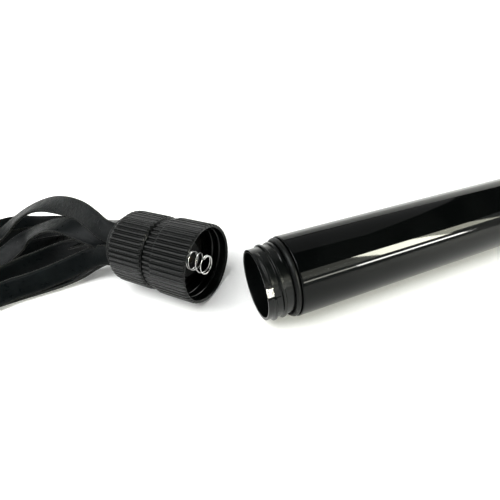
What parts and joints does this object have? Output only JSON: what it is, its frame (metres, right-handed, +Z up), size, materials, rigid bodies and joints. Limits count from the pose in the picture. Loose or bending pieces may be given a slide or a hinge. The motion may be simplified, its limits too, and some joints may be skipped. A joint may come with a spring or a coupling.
{
  "type": "battery tube handle with strap cap",
  "caption": "Tapered glossy tube handle with a threaded battery neck, and its ribbed screw cap with a contact spring and a tassel of flat leather strands.",
  "frame": {"origin": "on the surface the object lies on, under the middle of the box round the handle and the cap, without the strands", "axes": "+X along the handle towards its closed end, +Z up"},
  "size_m": [0.3804, 0.1272, 0.0316],
  "materials": {
    "gloss_black": "moulded, polished to a high gloss",
    "satin_black": "moulded, satin",
    "seal_rubber": "smooth nitrile rubber",
    "nickel": "nickel-plated spring brass",
    "spring_steel": "bright drawn wire",
    "steel": "plain steel",
    "brass": "turned brass",
    "sleeve_plastic": "natural polypropylene",
    "board": "laminate board",
    "cell_wrap": "plain printed film round a steel can",
    "lead_red": "insulated lead",
    "lead_black": "insulated lead",
    "leather_black": "dyed and lightly polished grain, raw cut edges",
    "binding_thread": "waxed woven thread"
  },
  "bodies": {
    "handle": {"tube_shell": "gloss_black", "neck": "satin_black", "o_ring": "seal_rubber", "contact_strip": "nickel", "battery_sleeve": "sleeve_plastic", "front_contact": "nickel", "bulkhead": "board", "motor_can": "steel", "motor_cradle": "sleeve_plastic", "lead_positive": "lead_red", "lead_negative": "lead_black"},
    "cells": {"battery_rear": "cell_wrap", "battery_front": "cell_wrap"},
    "rotor": {"motor_shaft": "steel", "eccentric_weight": "brass"},
    "cap_rear_body": {"cap_rear": "satin_black", "swivel_washer": "gloss_black", "strap_plug": "leather_black", "strap_binding": "binding_thread", "strand_top": "leather_black", "strand_near": "leather_black", "strand_arch": "leather_black", "strand_back": "leather_black", "strand_far": "leather_black", "strand_middle": "leather_black", "strand_inner": "leather_black", "strand_under": "leather_black"},
    "cap_skirt_body": {"cap_skirt": "satin_black", "contact_disc": "nickel", "contact_rivet": "nickel", "cap_contact_ring": "nickel", "battery_spring": "spring_steel", "pivot_screw": "steel", "pivot_washer": "steel"}
  },
  "joints": [
    {"name": "cap_swing", "type": "hinge", "parent": "handle", "child": "cap_rear_body", "pos_m": [-0.05103, -0.01096, 0.0158], "axis": [0, 0, 1], "range_deg": [0, 46.8]},
    {"name": "skirt_spin", "type": "hinge", "parent": "cap_rear_body", "child": "cap_skirt_body", "pos_m": [-0.08471, 0.0105, 0.0158], "axis": [-0.6845, 0.729, 0], "continuous": true},
    {"name": "cells_slide", "type": "slide", "parent": "handle", "child": "cells", "axis": [-0.9999, 0, 0.011], "range_m": [0, 0.02]},
    {"name": "rotor_spin", "type": "hinge", "parent": "handle", "child": "rotor", "pos_m": [0.08156, -0.02083, 0.01357], "axis": [0.9999, 0, -0.011], "continuous": true}
  ]
}
